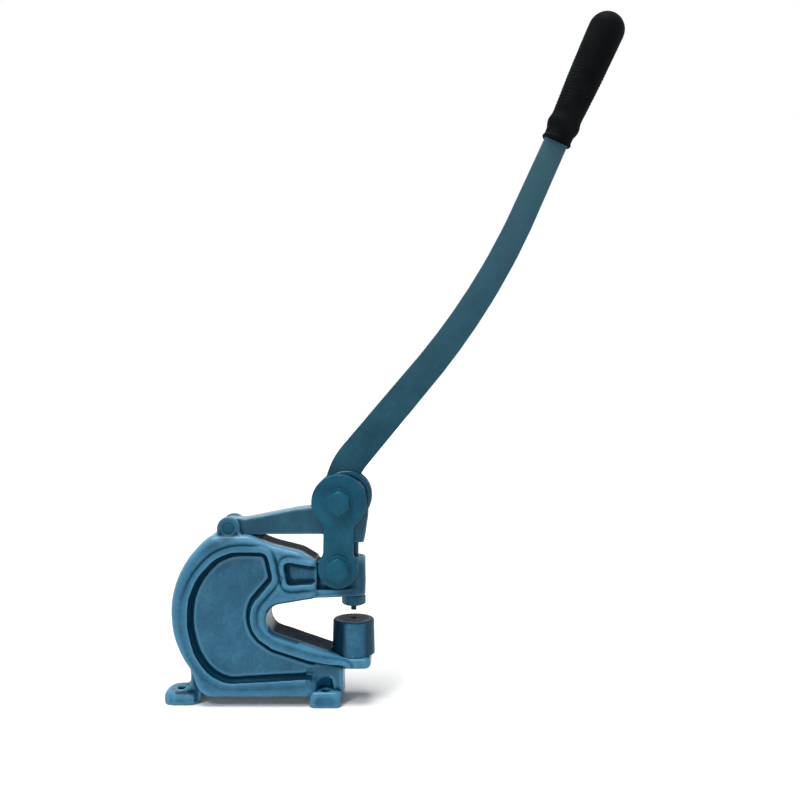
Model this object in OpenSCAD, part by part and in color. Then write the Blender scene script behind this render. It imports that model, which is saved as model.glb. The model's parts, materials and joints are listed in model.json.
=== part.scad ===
// Lever hole punch: a bench punch with a cast C-frame and a long hand lever.
// Millimetres. +X towards the punching end, +Y away from the side that faces the
// operator's camera, +Z up. The origin is on the bench, midway between the two
// front foot holes. Pulling the lever turns two eccentric discs, which press the
// beam down, and the beam pushes the ram through its bore in the head.

/* [Frame casting] */
// Width of the C-frame across its rims
frame_w = 44; // [40:0.5:50]
// Thickness of the web at the foot of the groove round its raised panel
web_t = 26; // [22:0.5:28]
// Rounding of the outer edges of the casting
rim_r = 5; // [3:0.5:6]
// Radius of the frame's round back
back_r = 84.5; // [80:0.5:88]
// Radius of the round end of the throat
throat_r = 13.5; // [12:0.1:13.6]
// Distance from the throat's back to the punch axis
throat_depth = 77.6; // [74:0.1:82]
// Height of the die's top face above the bench
die_top_z = 74.5; // [73:0.5:76]

/* [Feet] */
// Distance between the two front foot holes
foot_hole_spacing = 32; // [30:1:34]
// Radius of the foot holes
foot_hole_r = 4.4; // [4:0.1:5]
// Thickness of the front foot pad
front_pad_t = 14; // [12:1:16]
// Width of the front foot pad, the widest part of the casting
front_pad_w = 48; // [46:1:50]
// Thickness of the rear toe
rear_toe_t = 11; // [9:0.5:12]

/* [Head and ram] */
// Distance of the ram axis in front of the origin
ram_x = 24.5; // [24:0.1:25]
// Radius of the ram
ram_r = 7.5; // [7:0.1:8]
// Radius of the round head boss that guides the ram
head_r = 11; // [10.5:0.1:12]
// Radial running clearance of shafts in their bores
running_gap = 0.04; // [0.02:0.01:0.08]
// Radius of the hole that the punch makes
punch_r = 2.5; // [1.5:0.1:3]

/* [Linkage] */
// Height of the lever's fulcrum bolt
fulcrum_z = 183; // [182:0.5:184]
// Offset of the eccentric discs from the fulcrum bolt
throw = 7.8; // [7:0.1:8]
// Direction of that offset at rest, up from +X
throw_angle = 37; // [35:1:39]
// Radius of the eccentric discs
disc_r = 17; // [16.5:0.1:17.5]
// Thickness of each side plate
plate_t = 8; // [6:0.5:9]
// Radius of the fulcrum and anchor bolts
bolt_r = 6.35; // [6:0.05:6.5]
// Hexagon size of the bolt heads and nuts, across flats
hex_af = 19; // [18:0.5:20]

/* [Lever] */
// Thickness of the flat lever bar
bar_t = 9.5; // [8:0.5:9.5]
// Width of the bar where it leaves the hub
bar_w_low = 29.3; // [27:0.1:31]
// Width of the bar inside the grip
bar_w_high = 20; // [18:0.1:22]
// Length of the grip, its cuff included
grip_len = 130.5; // [125:0.5:140]
// Thickness of the grip at its round end
grip_w = 33.6; // [32:0.1:35]

/* [Hidden] */
$fn = 64;

enamel = [0.20, 0.41, 0.52];
enamel_dark = [0.13, 0.34, 0.43];
lever_blue = [0.18, 0.33, 0.38];
grip_black = [0.11, 0.12, 0.13];
steel = [0.55, 0.56, 0.57];
tool_steel = [0.30, 0.31, 0.33];
bronze = [0.60, 0.45, 0.25];

// Pivots, as [x, z]
fulcrum = [12, fulcrum_z];
anchor = [11, 123];
rear_pivot = [-88, 159];
disc_centre = fulcrum + throw * [cos(throw_angle), sin(throw_angle)];

// Widths across the machine, as half widths from its middle plane
frame_y = frame_w / 2;
tongue_y = 10.2;
plate_y = tongue_y + plate_t;
beam_y = 9.9;
disc_y = 9.7;
slot_y = bar_t / 2 + 0.3;
bar_y = bar_t / 2;

// Heights of the casting
rim_bottom_z = 8;
back_top_z = 153.2;
tongue_top_z = 132.5;
head_bottom_z = 96.2;
block_bottom_z = 33;
block_top_z = 43.5;
block_front_x = 41;
back_centre = [-54.5, 84];
toe_hole_x = -133;
arm_front_x = -8;
toe_y = 17;
sweep_y = 12.5;
beam_slot_z = 148.5;
pillar_x = [-10, 15.8];
pillar_y = 16;

pin_r = 5;
bushing_r = 7.5;
panel_t = 2.5;
panel_inset = 2.8;
rib_groove_t = 1.1;
spot_face_r = 8;
bolt_room_r = 7.6;
bolt_room_h = 10;
pocket_depth = 7;
washer_r = 12.5;
washer_t = 1.8;
holder_r = 18.8;
holder_gap = 1;
holder_lip = 2;
button_r = 13.5;
spigot_r = 12;
eye_slip = 1.3;
eye_shift = -0.85;
disc_gap = 0.25;

// --- outlines -------------------------------------------------------------

function unit(v) = v / norm(v);

// The outward normal of the edge from a to b in a counter-clockwise outline
function edge_normal(a, b) = let (v = unit(b - a)) [v[1], -v[0]];

function arc_points(centre, r, from, to, steps) =
    [for (i = [0:steps]) let (a = from + (to - from) * i / steps) centre + r * [cos(a), sin(a)]];

// One corner at b between a and c, replaced by an arc of radius r
function corner(a, b, c, r, step) =
    r == 0 ? [b] :
    let (u = unit(a - b), v = unit(c - b),
         half = acos(u * v) / 2,
         centre = b + unit(u + v) * r / sin(half),
         start = b + u * r / tan(half) - centre,
         turn = 180 - 2 * half,
         sweep = cross(b - a, c - b) > 0 ? turn : -turn,
         from = atan2(start[1], start[0]))
    arc_points(centre, r, from, from + sweep, max(1, ceil(turn / step)));

function flat(p) = [p[0], p[1]];

// A closed outline whose corners, given as [x, z, radius], are rounded
function rounded(corners, step = 15) =
    let (n = len(corners))
    [for (i = [0:n - 1])
        each corner(flat(corners[(i + n - 1) % n]), flat(corners[i]),
                    flat(corners[(i + 1) % n]), corners[i][2], step)];

// The outline moved outwards by d, with the same number of points
function grown(outline, d) =
    let (n = len(outline))
    [for (i = [0:n - 1])
        let (before = edge_normal(outline[(i + n - 1) % n], outline[i]),
             after = edge_normal(outline[i], outline[(i + 1) % n]))
        outline[i] + (before + after) * d / (1 + before * after)];

// A quarter round of radius r in a few steps, from a face inwards: [depth, growth]
function quarter(r, steps) =
    [for (i = [0:steps]) let (a = 90 * i / steps) [r * (1 - cos(a)), -r * (1 - sin(a))]];

// Layers [y, growth] of a slab between lo and hi with rounded edges
function slab_layers(lo, hi, r, steps = 3) =
    concat([for (q = quarter(r, steps)) [lo + q[0], q[1]]],
           [for (i = [steps:-1:0]) let (q = quarter(r, steps)[i]) [hi - q[0], q[1]]]);

// Layers of a pocket cut from outside a face at -face down to -bottom, with a
// rounded lip at its mouth, a little draft and a fillet round its floor
function pocket_layers(face, bottom, lip, fillet, draft) =
    concat([[-face - 1, lip]],
           [for (q = quarter(lip, 2)) [-face + q[0], lip + q[1]]],
           [for (i = [0:3]) [-bottom - fillet * (1 - sin(30 * i)), -draft - fillet * (1 - cos(30 * i))]]);

// A solid through copies of one outline in the XZ plane, each at its y and growth
module loft(outline, layers) {
    n = len(outline);
    last = len(layers) - 1;
    polyhedron(
        points = [for (layer = layers) for (p = grown(outline, layer[1])) [p[0], layer[0], p[1]]],
        faces = concat(
            [[for (i = [n - 1:-1:0]) i]],
            [[for (i = [0:n - 1]) last * n + i]],
            [for (k = [0:last - 1], i = [0:n - 1]) let (j = (i + 1) % n)
                [k * n + i, k * n + j, (k + 1) * n + j]],
            [for (k = [0:last - 1], i = [0:n - 1]) let (j = (i + 1) % n)
                [k * n + i, (k + 1) * n + j, (k + 1) * n + i]]));
}

// The same with the outline in plan, as [x, y], and the layers rising in z
module plan_loft(outline, layers) {
    rotate([90, 0, 0]) loft(outline, layers);
}

// A flat piece between two y values, from a sketch in x and z
module slab(lo, hi) {
    translate([0, hi, 0]) rotate([90, 0, 0]) linear_extrude(height = hi - lo) children();
}

// A round bar across the machine, on the axis through [x, z]
module cross_bar(at, r, lo, hi) {
    translate([at[0], lo, at[1]]) rotate([-90, 0, 0]) cylinder(r = r, h = hi - lo);
}

// A hexagon across the machine, with its corners up and down
module cross_hex(at, af, lo, hi) {
    translate([at[0], lo, at[1]]) rotate([-90, 30, 0]) cylinder(r = af / sqrt(3), h = hi - lo, $fn = 6);
}

module upright(r, lo, hi) {
    translate([ram_x, 0, lo]) cylinder(r = r, h = hi - lo);
}

// --- frame casting --------------------------------------------------------

throat_back_x = ram_x - throat_depth;
floor_slope = -0.34;
roof_slope = 0.168;
floor_ref = [0, 49.7];
roof_ref = [-20.6, 94.7];
function floor_z(x) = floor_ref[1] + floor_slope * (x - floor_ref[0]);
function roof_z(x) = roof_ref[1] + roof_slope * (x - roof_ref[0]);
block_step_x = (block_top_z - floor_ref[1]) / floor_slope;

// The C as seen from the side: foot, end block, throat, arm and round back
frame_outline = rounded(concat(
    [[-8, rim_bottom_z, 5.5], [-8, 29, 0], [-1, 29, 0], [-1, block_bottom_z, 0],
     [block_front_x, block_bottom_z, 5.2], [block_front_x, block_top_z, 5.2],
     [block_step_x, block_top_z, 20],
     [throat_back_x, floor_z(throat_back_x), throat_r], [throat_back_x, roof_z(throat_back_x), throat_r],
     [roof_ref[0], roof_ref[1], 60], [arm_front_x, head_bottom_z, 5.5],
     [arm_front_x, 129.5, 5.2], [-22.5, 138.5, 18], [-50, 145.3, 40], [-69, back_top_z, 16],
     [-103.4, back_top_z, 12]],
    [for (p = arc_points(back_centre, back_r, 131, 218, 14)) [p[0], p[1], 0]],
    [[-113, rim_bottom_z, 16]]), 12);

// The big recess leaves a rim round the back and the throat. It runs out over the
// front pillar, which stands in its open end
recess_outline = grown(rounded(concat(
    [[16, 26.3, 0], [16, 36.2, 0], [-14, 41.4, 30], [-47, 52, 14]],
    [for (p = arc_points([-39.5, 80], 27.8, 226, 150, 7)) [p[0], p[1], 0]],
    [[-46.5, 113.5, 6], [-52.3, 138.6, 8], [-84, 139, 30], [-99.5, 132.5, 30], [-114, 117, 40],
     [-123.3, 97, 45], [-124.2, 72, 45], [-118, 46.5, 45], [-104.5, 28, 35], [-88, 20.3, 25]]), 12), -1.6);

// The small pocket in the upper arm
pocket_outline = rounded([
    [-34, 109, 3.6], [-6.5, 111.2, 3.6], [-5, 123.5, 3.4], [-37.5, 129.5, 3.6]], 30);

// The shallow groove between the rim of the recess and the rim of the pocket
rib_groove = rounded([
    [-41.8, 108.3, 1.6], [-38.2, 109, 1.6], [-42.7, 133.8, 1.6], [-46.3, 133.1, 1.6]], 30);

module recess_pair(outline, bottom, lip, fillet, draft) {
    for (side = [0, 1])
        mirror([0, side, 0]) loft(outline, pocket_layers(frame_y, bottom, lip, fillet, draft));
}

// Front foot: a pad across the machine with a narrow pillar up to the end block
module front_foot() {
    side = front_pad_w / 2;
    pad = rounded([[-14.3, -side, 5], [14.3, -side, 5], [14.3, side, 5], [-14.3, side, 5]], 30);
    pad_layers = [[0, 0], [front_pad_t - 3.7, 0], [front_pad_t - 1.1, -1.1], [front_pad_t, -3.7]];
    pillar = [[pillar_x[0], 6], [pillar_x[1], 6],
              [pillar_x[1], block_bottom_z + 5], [pillar_x[0], block_bottom_z + 5]];
    plan_loft(pad, pad_layers);
    loft(pillar, slab_layers(-pillar_y, pillar_y, 2.5, 2));
}

// Rear foot: a toe with a round end, swept up into the back of the frame
module rear_foot() {
    toe = rounded([[-147.5, -toe_y, 11], [-114.5, -toe_y, 9], [-114.5, toe_y, 9], [-147.5, toe_y, 11]], 30);
    toe_layers = [[0, 0], [rear_toe_t - 4, 0], [rear_toe_t - 1.2, -1.2], [rear_toe_t, -4]];
    sweep_up = rounded([[-138, 3, 0], [-113, 3, 0], [-113, 24, 0], [-121, 40, 0], [-124, 40, 0],
                        [-121.5, rear_toe_t - 0.4, 13], [-138, rear_toe_t - 0.4, 0]]);
    plan_loft(toe, toe_layers);
    loft(sweep_up, slab_layers(-sweep_y, sweep_y, 1.2, 2));
}

// Head: the tongue that the side plates straddle, and the round ram guide
module head() {
    tongue = rounded([[-22, head_bottom_z + 2, 0], [18, head_bottom_z + 2, 0], [20, tongue_top_z - 2, 3],
                      [6, tongue_top_z - 2, 6], [-14, 128, 0], [-22, 128, 0]]);
    slab(-tongue_y, tongue_y) polygon(tongue);
    // the boss has a flat on each side where the side plates pass it
    intersection() {
        upright(head_r, head_bottom_z, tongue_top_z);
        slab(-tongue_y, tongue_y) translate([0, head_bottom_z]) square([60, 60]);
    }
    // the arm's underside narrows in plan into the round head
    hull() {
        upright(head_r, head_bottom_z + 0.3, head_bottom_z + 7.5, $fn = 32);
        translate([arm_front_x - 12, -frame_y + 3, head_bottom_z + 0.5]) cube([8, frame_w - 6, 7]);
    }
}

// Rear ears: two lugs on top of the back that carry the beam's pivot pin
ear_r = 10.4;
ear_t = 6;
ear_skirt = 9;

module ears() {
    x = rear_pivot[0];
    foot_z = back_top_z - 4;
    blend_z = back_top_z + 0.5;
    ear = rounded([[x - ear_r - ear_skirt, foot_z, 0], [x + ear_r + ear_skirt, foot_z, 0],
                   [x + ear_r, blend_z, 5], [x + ear_r, rear_pivot[1], 0],
                   [x - ear_r, rear_pivot[1], 0], [x - ear_r, blend_z, 5]], 20);
    for (side = [0, 1]) mirror([0, side, 0]) {
        slab(tongue_y, tongue_y + ear_t) {
            translate(rear_pivot) circle(r = ear_r);
            polygon(ear);
        }
    }
}

// The slot between the ears, in which the beam swings
module beam_slot() {
    slab(-tongue_y, tongue_y)
        polygon(rounded([[-102, beam_slot_z, 4], [-44, beam_slot_z, 0], [-44, 175, 0], [-102, 175, 0]]));
}

// The rough casting as one surface, true to its width over the front pad
module rough_casting() {
    resize([0, front_pad_w, 0]) {
        difference() {
            loft(frame_outline, slab_layers(-frame_y, frame_y, rim_r));
            recess_pair(recess_outline, web_t / 2, 2.4, 1.2, 0.5);
            recess_pair(pocket_outline, frame_y - pocket_depth, 1.2, 1, 0.5);
            recess_pair(rib_groove, frame_y - rib_groove_t, 0.4, 0.5, 0.2);
            beam_slot();
        }
        // the raised panel in the middle of the web
        slab(-web_t / 2 - panel_t, web_t / 2 + panel_t) offset(r = -panel_inset) polygon(recess_outline);
        front_foot();
        rear_foot();
        head();
        ears();
    }
}

module frame_casting() {
    color(enamel) difference() {
        rough_casting();
        upright(ram_r + running_gap, head_bottom_z - 5, tongue_top_z + 5);
        upright(spigot_r, block_bottom_z - 5, block_top_z + 5);
        upright(holder_r + holder_gap, block_top_z, die_top_z);
        cross_bar(anchor, bolt_r, -tongue_y - 5, tongue_y + 5);
        cross_bar(rear_pivot, pin_r, -tongue_y - ear_t - 5, tongue_y + ear_t + 5);
        for (side = [-1, 1]) translate([0, side * foot_hole_spacing / 2, 0]) {
            translate([0, 0, -5]) cylinder(r = foot_hole_r, h = front_pad_t + 6);
            // the hollow in the pillar that clears the bolt's head
            translate([0, 0, front_pad_t]) cylinder(r1 = bolt_room_r, r2 = bolt_room_r - 2, h = bolt_room_h);
        }
        translate([toe_hole_x, 0, -5]) cylinder(r = foot_hole_r, h = rear_toe_t + 10);
        // the bolt's seat, cut level where the toe starts to sweep up
        translate([toe_hole_x, 0, rear_toe_t]) cylinder(r = spot_face_r, h = 8);
    }
}

module rear_pivot_pin() {
    color(enamel_dark) cross_bar(rear_pivot, pin_r, -tongue_y - ear_t, tongue_y + ear_t);
}

// --- side plates and their bolts ------------------------------------------

plate_neck = 13.5;
plate_hub_r = 25;
plate_foot_r = 18;
blend_r = 10;

plate_line = fulcrum - anchor;
plate_reach = norm(plate_line);
blend_x = plate_neck + blend_r;
// How far below the horizontal each round end meets its concave blends
hub_dip = acos(blend_x / (plate_hub_r + blend_r));
foot_dip = acos(blend_x / (plate_foot_r + blend_r));
hub_blend_z = plate_reach - (plate_hub_r + blend_r) * sin(hub_dip);
foot_blend_z = (plate_foot_r + blend_r) * sin(foot_dip);

// A plate's outline standing on the anchor bolt: two round ends and a narrow neck
plate_outline = concat(
    arc_points([0, plate_reach], plate_hub_r, -hub_dip, 180 + hub_dip, 46),
    arc_points([-blend_x, hub_blend_z], blend_r, hub_dip, 0, 6),
    arc_points([-blend_x, foot_blend_z], blend_r, 0, -foot_dip, 5),
    arc_points([0, 0], plate_foot_r, 180 - foot_dip, 360 + foot_dip, 40),
    arc_points([blend_x, foot_blend_z], blend_r, 180 + foot_dip, 180, 5),
    arc_points([blend_x, hub_blend_z], blend_r, 180, 180 - hub_dip, 6));

module side_plate(lo) {
    difference() {
        slab(lo, lo + plate_t)
            translate(anchor) rotate(-atan2(plate_line[0], plate_line[1])) polygon(plate_outline);
        cross_bar(fulcrum, bolt_r, lo - 1, lo + plate_t + 1);
        cross_bar(anchor, bolt_r, lo - 1, lo + plate_t + 1);
    }
}

module side_plate_near() {
    color(enamel_dark) side_plate(-plate_y);
}

module side_plate_far() {
    color(enamel_dark) side_plate(tongue_y);
}

head_t = 8;
nut_t = 11;
bolt_face = plate_y + washer_t;

// A hexagon whose outer corners are turned down by a cone, between two y values;
// out is -1 when its free face is at lo and 1 when it is at hi
module turned_hex(at, lo, hi, out) {
    corner_r = hex_af / sqrt(3);
    h = hi - lo;
    intersection() {
        cross_hex(at, hex_af, lo, hi);
        translate([at[0], out < 0 ? lo : hi, at[1]]) rotate([out < 0 ? -90 : 90, 0, 0])
            cylinder(r1 = hex_af / 2 - 0.3, r2 = hex_af / 2 - 0.3 + h * 1.8, h = h);
    }
}

module hex_bolt(at) {
    turned_hex(at, -bolt_face - head_t, -bolt_face, -1);
    cross_bar(at, bolt_r, -bolt_face - 1, bolt_face + nut_t + 2.5);
}

module hex_nut(at) {
    difference() {
        turned_hex(at, bolt_face, bolt_face + nut_t, 1);
        cross_bar(at, bolt_r, bolt_face - 1, bolt_face + nut_t + 1);
    }
}

module washer_pair(at) {
    for (lo = [-bolt_face, plate_y]) difference() {
        cross_bar(at, washer_r, lo, lo + washer_t);
        cross_bar(at, bolt_r, lo - 1, lo + washer_t + 1);
    }
}

module anchor_bolt() { color(enamel_dark) hex_bolt(anchor); }
module anchor_washers() { color(enamel_dark) washer_pair(anchor); }
module anchor_nut() { color(enamel_dark) hex_nut(anchor); }
module fulcrum_bolt() { color(enamel_dark) hex_bolt(fulcrum); }
module fulcrum_washers() { color(enamel_dark) washer_pair(fulcrum); }
module fulcrum_nut() { color(enamel_dark) hex_nut(fulcrum); }

// --- die ------------------------------------------------------------------

button_t = 12;
slug_r = 5;
die_clearance = 0.1;
screw_z = die_top_z - 8;
screw_r = 2.5;

// The painted holder stands on the end block on a spigot, its top edge rounded
module die_holder() {
    color(enamel) difference() {
        translate([ram_x, 0, 0]) rotate_extrude() polygon(concat(
            [[0, block_bottom_z + 1], [spigot_r, block_bottom_z + 1], [spigot_r, block_top_z],
             [holder_r + 0.6, block_top_z], [holder_r + 0.6, block_top_z + 1.5]],
            [for (a = [0:15:90]) [holder_r, die_top_z] + holder_lip * [cos(a) - 1, sin(a) - 1]],
            [[0, die_top_z]]));
        upright(button_r, die_top_z - button_t, die_top_z + 1);
        upright(slug_r + 1, block_bottom_z, die_top_z);
        translate([ram_x + button_r - 1, 0, screw_z]) rotate([0, 90, 0]) cylinder(r = screw_r, h = holder_r);
    }
}

module die_button() {
    color(tool_steel) difference() {
        upright(button_r, die_top_z - button_t, die_top_z);
        upright(punch_r + die_clearance, die_top_z - 4, die_top_z + 1);
        upright(slug_r, die_top_z - button_t - 1, die_top_z - 4);
    }
}

module die_set_screw() {
    color(tool_steel) difference() {
        translate([ram_x + button_r, 0, screw_z]) rotate([0, 90, 0])
            cylinder(r = screw_r, h = holder_r - button_r - 0.6);
        translate([ram_x + button_r + 2.5, 0, screw_z]) rotate([0, 90, 0]) cylinder(r = 1.4, h = 5, $fn = 6);
    }
}

// --- lever ----------------------------------------------------------------

// The bar's middle line: a short bend out of the hub, a straight run, a long
// sweep the other way, and a straight run up into the grip
bar_start = [13.5, 200];
bar_start_angle = 78;
bend_r = 55;
bar_low_angle = 50;
sweep_r = 640;
bar_high_angle = 65.8;
low_run = 98;
high_run = 69.6;
grip_overlap = 104;

function heading(a) = [cos(a), sin(a)];
function left_of(a) = [-sin(a), cos(a)];
bend_centre = bar_start - bend_r * left_of(bar_start_angle);
low_start = bend_centre + bend_r * left_of(bar_low_angle);
sweep_start = low_start + low_run * heading(bar_low_angle);
sweep_centre = sweep_start + sweep_r * left_of(bar_low_angle);
sweep_end = sweep_centre - sweep_r * left_of(bar_high_angle);
grip_start = sweep_end + high_run * heading(bar_high_angle);
bar_end = grip_start + grip_overlap * heading(bar_high_angle);

// Stations along the bar as [point, heading angle]
bar_stations = concat(
    [[bar_start - 12 * heading(bar_start_angle + 4), bar_start_angle]],
    [for (i = [0:6]) let (a = bar_start_angle + (bar_low_angle - bar_start_angle) * i / 6)
        [bend_centre + bend_r * left_of(a), a]],
    [for (i = [0:14]) let (a = bar_low_angle + (bar_high_angle - bar_low_angle) * i / 14)
        [sweep_centre - sweep_r * left_of(a), a]],
    [[grip_start, bar_high_angle], [bar_end, bar_high_angle]]);

bar_length = norm(bar_end - bar_start);
function bar_half_width(p) =
    let (t = min(1, norm(p - bar_start) / bar_length))
    (bar_w_low + (bar_w_high - bar_w_low) * t) / 2;
bar_outline = concat(
    [for (s = bar_stations) s[0] - bar_half_width(s[0]) * left_of(s[1])],
    [for (i = [len(bar_stations) - 1:-1:0]) let (s = bar_stations[i])
        s[0] + bar_half_width(s[0]) * left_of(s[1])]);

hub_r = 24.5;
dowel_r = 2.5;
dowel_reach = 11.5;

module dowels(extra) {
    for (a = [throw_angle - 65, throw_angle + 65])
        cross_bar(disc_centre + dowel_reach * heading(a), dowel_r, -disc_y - extra, disc_y + extra);
}

module lever_bar() {
    color(lever_blue) difference() {
        slab(-bar_y, bar_y) {
            polygon(bar_outline);
            translate(fulcrum) circle(r = hub_r);
        }
        cross_bar(fulcrum, bolt_r + running_gap, -bar_y - 1, bar_y + 1);
        dowels(1);
    }
}

module eccentric(lo) {
    difference() {
        cross_bar(disc_centre, disc_r, lo, lo + disc_y - bar_y);
        cross_bar(fulcrum, bolt_r + running_gap, lo - 1, lo + disc_y);
        dowels(1);
    }
}

module eccentric_near() { color(steel) eccentric(-disc_y); }
module eccentric_far() { color(steel) eccentric(bar_y); }
module eccentric_dowels() { color(steel) dowels(0); }

// Half thickness of the grip at distances above its lower lip, as [distance, half]
grip_half = [[0, 12.8], [1, 13.9], [2.6, 13.9], [4, 13.1], [9, 13.2], [13, 14.4], [16, 15.2], [19, 15.2],
             [22.5, 14.4], [25, 14.05], [34, 14.35], [56, 15.4], [85, 0.97 * grip_w / 2]];
grip_flatness = 0.84;
grip_round = grip_len - grip_w / 2;
grip_stations = concat(grip_half,
    [for (i = [0:7]) let (a = i * 12) [grip_round, 0] + grip_w / 2 * [sin(a), cos(a)]]);

// The grip: oval rings along the bar, with a lipped cuff and a round end
module lever_grip() {
    sides = 24;
    rings = len(grip_stations);
    centre_of = [for (s = grip_stations) grip_start + s[0] * heading(bar_high_angle)];
    across = left_of(bar_high_angle);
    color(grip_black) difference() {
        polyhedron(
            points = [for (k = [0:rings - 1], i = [0:sides - 1])
                let (r = grip_stations[k][1], a = 360 * i / sides,
                     p = centre_of[k] + r * cos(a) * across)
                [p[0], r * grip_flatness * sin(a), p[1]]],
            faces = concat(
                [[for (i = [0:sides - 1]) i]],
                [[for (i = [sides - 1:-1:0]) (rings - 1) * sides + i]],
                [for (k = [0:rings - 2], i = [0:sides - 1])
                    [k * sides + i, (k + 1) * sides + i, (k + 1) * sides + (i + 1) % sides]],
                [for (k = [0:rings - 2], i = [0:sides - 1])
                    [k * sides + i, (k + 1) * sides + (i + 1) % sides, k * sides + (i + 1) % sides]]));
        slab(-bar_y, bar_y) polygon(bar_outline);
    }
}

// --- press beam -----------------------------------------------------------

beam_bottom_z = 153;
nose_bottom_z = 145.5;
cheek_r = 23.5;
beam_eye_r = 9;
finger_x = [22.7, 28.9];
finger_r = (finger_x[1] - finger_x[0]) / 2;
finger_y = 3;
ram_pin_r = 1.75;
ram_pin_at = [26, 125];
slot_r = hub_r + 2.6;

module press_beam() {
    color(enamel) difference() {
        union() {
            slab(-beam_y, beam_y) {
                translate(rear_pivot) circle(r = beam_eye_r);
                polygon([[-88, 150.2], [-62, beam_bottom_z], [-4, beam_bottom_z], [14, nose_bottom_z],
                         [34, nose_bottom_z], [35.5, 153], [37, 163], [38.5, 173], [disc_centre[0], 190],
                         [-15, 178], [-27, 176.8], [-76.5, 167.3], [-88, 167.8]]);
                translate(disc_centre) circle(r = cheek_r);
            }
            // the finger that reaches down into the ram
            slab(-finger_y, finger_y) {
                translate([finger_x[0], ram_pin_at[1] - 1]) square([2 * finger_r, 30]);
                translate([finger_x[0] + finger_r, ram_pin_at[1] - 1]) circle(r = finger_r);
            }
        }
        // room for the lever's hub between the cheeks
        cross_bar(fulcrum, slot_r, -slot_y, slot_y);
        translate([fulcrum[0] - slot_r, -slot_y, fulcrum[1]]) cube([60, 2 * slot_y, 40]);
        translate([fulcrum[0], -slot_y, fulcrum[1] - 7]) cube([60, 2 * slot_y, 40]);
        // long eyes for the eccentric discs
        for (shift = [eye_shift - eye_slip, eye_shift + eye_slip])
            cross_bar(disc_centre + [shift, 0], disc_r + disc_gap, -beam_y - 1, beam_y + 1);
        translate([disc_centre[0] + eye_shift - eye_slip, -beam_y - 1, disc_centre[1] - disc_r - disc_gap])
            cube([2 * eye_slip, 2 * beam_y + 2, 2 * (disc_r + disc_gap)]);
        cross_bar(rear_pivot, bushing_r, -beam_y - 1, beam_y + 1);
        cross_bar(ram_pin_at, ram_pin_r, -beam_y, beam_y);
    }
}

module beam_bushing() {
    color(bronze) difference() {
        cross_bar(rear_pivot, bushing_r, -beam_y, beam_y);
        cross_bar(rear_pivot, pin_r + running_gap, -beam_y - 1, beam_y + 1);
    }
}

module ram_pin() {
    color(steel) cross_bar(ram_pin_at, ram_pin_r, -6, 6);
}

// --- ram ------------------------------------------------------------------

ram_top_z = 132;
ram_foot_z = 93.5;
thread_r = 6.3;
fork_y = 3.35;
fork_floor_z = 120.3;
pin_slot_x = [ram_pin_at[0] - 4 - ram_pin_r, ram_pin_at[0] + 0.3 + ram_pin_r];
pin_slot_half = ram_pin_r + 0.25;

module ram() {
    color(steel) difference() {
        union() {
            upright(ram_r, head_bottom_z - 0.2, ram_top_z);
            upright(thread_r, ram_foot_z, head_bottom_z);
        }
        // fork for the beam's finger
        translate([0, -fork_y, fork_floor_z]) cube([60, 2 * fork_y, 30]);
        // sideways slot for the pin
        translate([pin_slot_x[0], -20, ram_pin_at[1] - pin_slot_half])
            cube([pin_slot_x[1] - pin_slot_x[0], 40, 2 * pin_slot_half]);
    }
}

nut_bottom_z = 87.5;
nut_top_z = head_bottom_z - 0.4;
nut_h = nut_top_z - nut_bottom_z;
chamfer_r = 8.6;
seat_z = 90.5;
punch_neck_r = 4;

module coupling_nut() {
    color(enamel_dark) difference() {
        intersection() {
            upright(hex_af / sqrt(3), nut_bottom_z, nut_top_z, $fn = 6);
            translate([ram_x, 0, nut_bottom_z])
                cylinder(r1 = chamfer_r, r2 = chamfer_r + 2 * nut_h, h = nut_h);
        }
        upright(thread_r, seat_z, nut_top_z + 1);
        upright(punch_neck_r, nut_bottom_z - 1, seat_z + 1);
    }
}

punch_tip_z = 82.5;

module punch() {
    color(tool_steel) {
        upright(punch_r, punch_tip_z, nut_bottom_z);
        upright(punch_neck_r, nut_bottom_z, seat_z);
        upright(thread_r, seat_z, ram_foot_z);
    }
}

frame_casting();
rear_pivot_pin();
side_plate_near();
side_plate_far();
anchor_bolt();
anchor_washers();
anchor_nut();
fulcrum_bolt();
fulcrum_washers();
fulcrum_nut();
die_holder();
die_button();
die_set_screw();
lever_bar();
eccentric_near();
eccentric_far();
eccentric_dowels();
lever_grip();
press_beam();
beam_bushing();
ram_pin();
ram();
coupling_nut();
punch();
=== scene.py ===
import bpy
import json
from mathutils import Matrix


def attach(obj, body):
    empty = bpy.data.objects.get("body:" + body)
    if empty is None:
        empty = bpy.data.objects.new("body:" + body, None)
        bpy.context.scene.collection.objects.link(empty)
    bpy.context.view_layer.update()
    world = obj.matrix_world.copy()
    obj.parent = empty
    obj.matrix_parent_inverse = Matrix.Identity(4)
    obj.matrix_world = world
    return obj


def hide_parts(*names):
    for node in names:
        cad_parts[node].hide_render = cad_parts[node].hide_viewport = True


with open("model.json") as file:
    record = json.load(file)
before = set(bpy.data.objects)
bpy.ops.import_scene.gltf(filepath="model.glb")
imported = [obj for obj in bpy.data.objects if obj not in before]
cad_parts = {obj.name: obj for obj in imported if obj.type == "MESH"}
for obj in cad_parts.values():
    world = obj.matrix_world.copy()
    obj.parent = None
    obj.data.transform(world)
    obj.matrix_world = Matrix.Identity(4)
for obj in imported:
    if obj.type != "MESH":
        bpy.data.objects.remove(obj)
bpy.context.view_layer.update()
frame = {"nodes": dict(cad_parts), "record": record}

import json
import math

import bmesh
import bpy
import numpy as np
from mathutils import Vector, noise
from mathutils.bvhtree import BVHTree
from mathutils.kdtree import KDTree

scene = bpy.context.scene
nodes = frame["nodes"]
body_of = {n: b for b, ns in frame["record"]["behaviour"]["bodies"].items() for n in ns}
slot_of = {s["node"]: s["material_slot"] for s in frame["record"]["subparts"]}
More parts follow.
